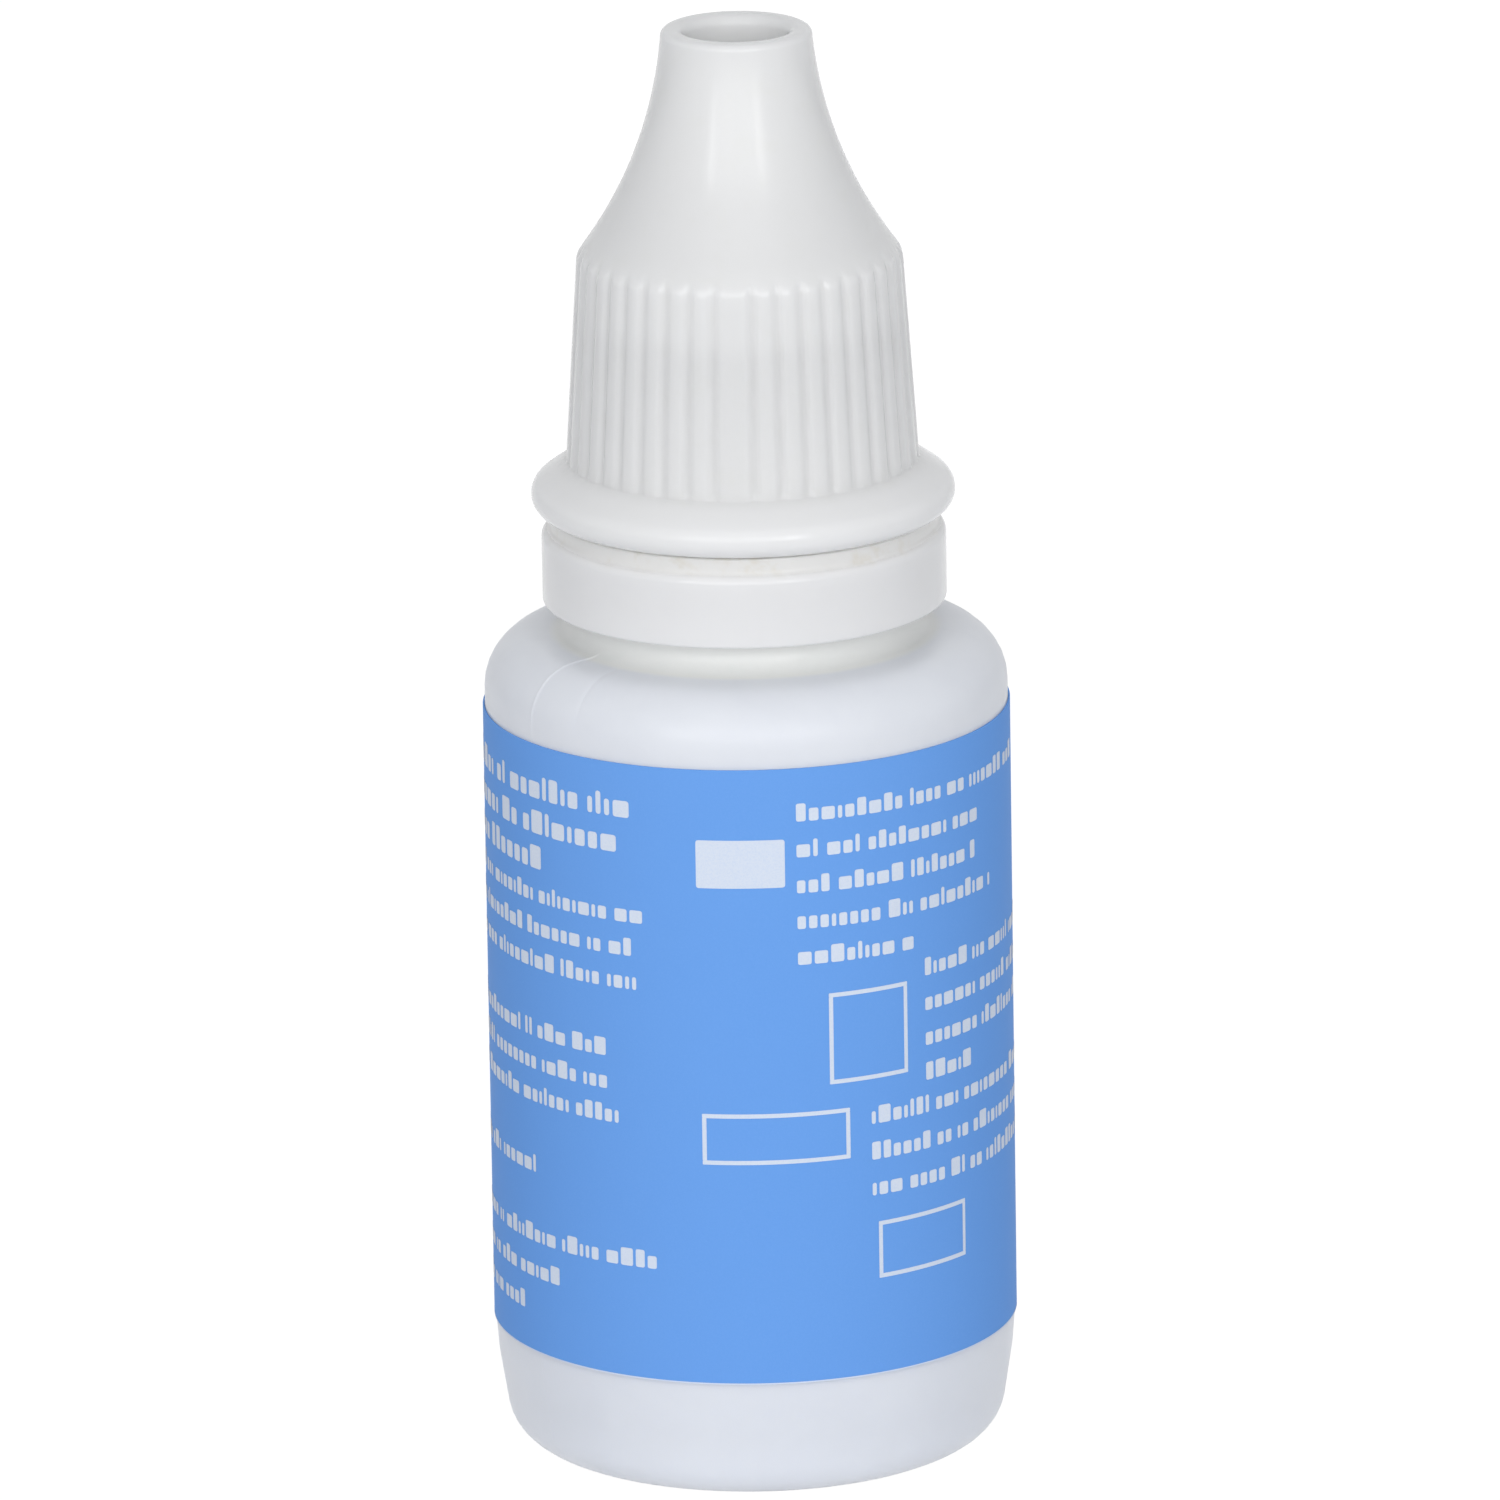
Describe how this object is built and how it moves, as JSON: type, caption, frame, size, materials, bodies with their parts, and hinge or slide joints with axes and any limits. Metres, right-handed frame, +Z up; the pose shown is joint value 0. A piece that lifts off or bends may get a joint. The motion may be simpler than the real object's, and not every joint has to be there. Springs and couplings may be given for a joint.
{
  "type": "dropper bottle",
  "caption": "Small squeeze dropper bottle with a press-in dropper, a tall ribbed screw cap with a flared tip, a tamper band and a wrap label.",
  "frame": {"origin": "centre of the foot, on the surface the bottle stands on", "axes": "+Z up along the bottle's axis towards the cap's tip, -Y towards the front, +X to the right of a person who faces the front"},
  "size_m": [0.024, 0.024, 0.0663],
  "materials": {
    "bottle": "milky white, satin",
    "label": "blue printed film, satin",
    "tamper_band": "white, gloss",
    "screw_cap": "white, gloss",
    "dropper_insert": "translucent natural, satin"
  },
  "bodies": {
    "bottle": {"bottle": "bottle", "dropper_insert": "dropper_insert", "label": "label"},
    "band": {"tamper_band": "tamper_band"},
    "cap": {"screw_cap": "screw_cap"}
  },
  "joints": [
    {"name": "cap_turn", "type": "hinge", "parent": "bottle", "child": "band", "pos_m": [0, 0, 0.0415], "axis": [0, 0, 1], "range_deg": [0, 2160]},
    {"name": "cap_lift", "type": "slide", "parent": "band", "child": "cap", "axis": [0, 0, 1], "range_m": [0, 0.01801]}
  ],
  "couplings": [
    {"joint": "cap_lift", "follows": "cap_turn", "m_per_rad": 0.00047746}
  ]
}
